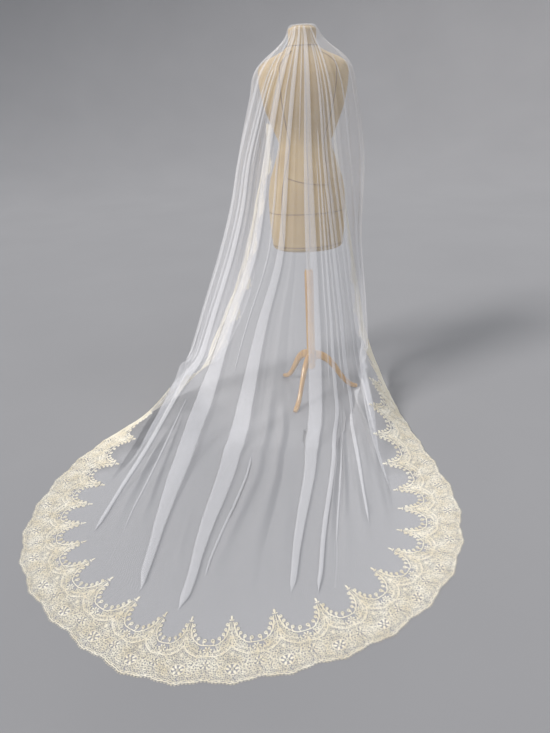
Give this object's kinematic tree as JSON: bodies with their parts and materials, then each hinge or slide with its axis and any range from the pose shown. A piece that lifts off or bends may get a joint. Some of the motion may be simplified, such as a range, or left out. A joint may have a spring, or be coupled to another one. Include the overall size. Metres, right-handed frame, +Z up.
{
  "type": "bridal veil on a dress form",
  "caption": "Cathedral bridal veil of soft tulle with a deep scalloped lace border, laid over a limbless dress form on a wooden tripod, its train spread on the floor.",
  "frame": {"origin": "centre of the whole box on the floor", "axes": "+Z up; +X to the right seen from behind the form, where the train lies; -Y along the train, away from the form"},
  "size_m": [1.6296, 2.0036, 1.6659],
  "materials": {
    "tulle": "soft white net, slightly shiny on its folds",
    "lace": "ivory corded lace, matt with a silky cord",
    "cover": "cream woven cover, matt",
    "wood": "satin varnish",
    "rod": "brushed"
  },
  "bodies": {
    "root": {"form_torso": "cover", "form_cap": "cover", "form_rod": "rod", "form_pole": "wood", "form_leg_1": "wood", "form_leg_2": "wood", "form_leg_3": "wood", "veil_tulle": "tulle", "lace_border_left": "lace", "lace_border_right": "lace"}
  },
  "joints": []
}
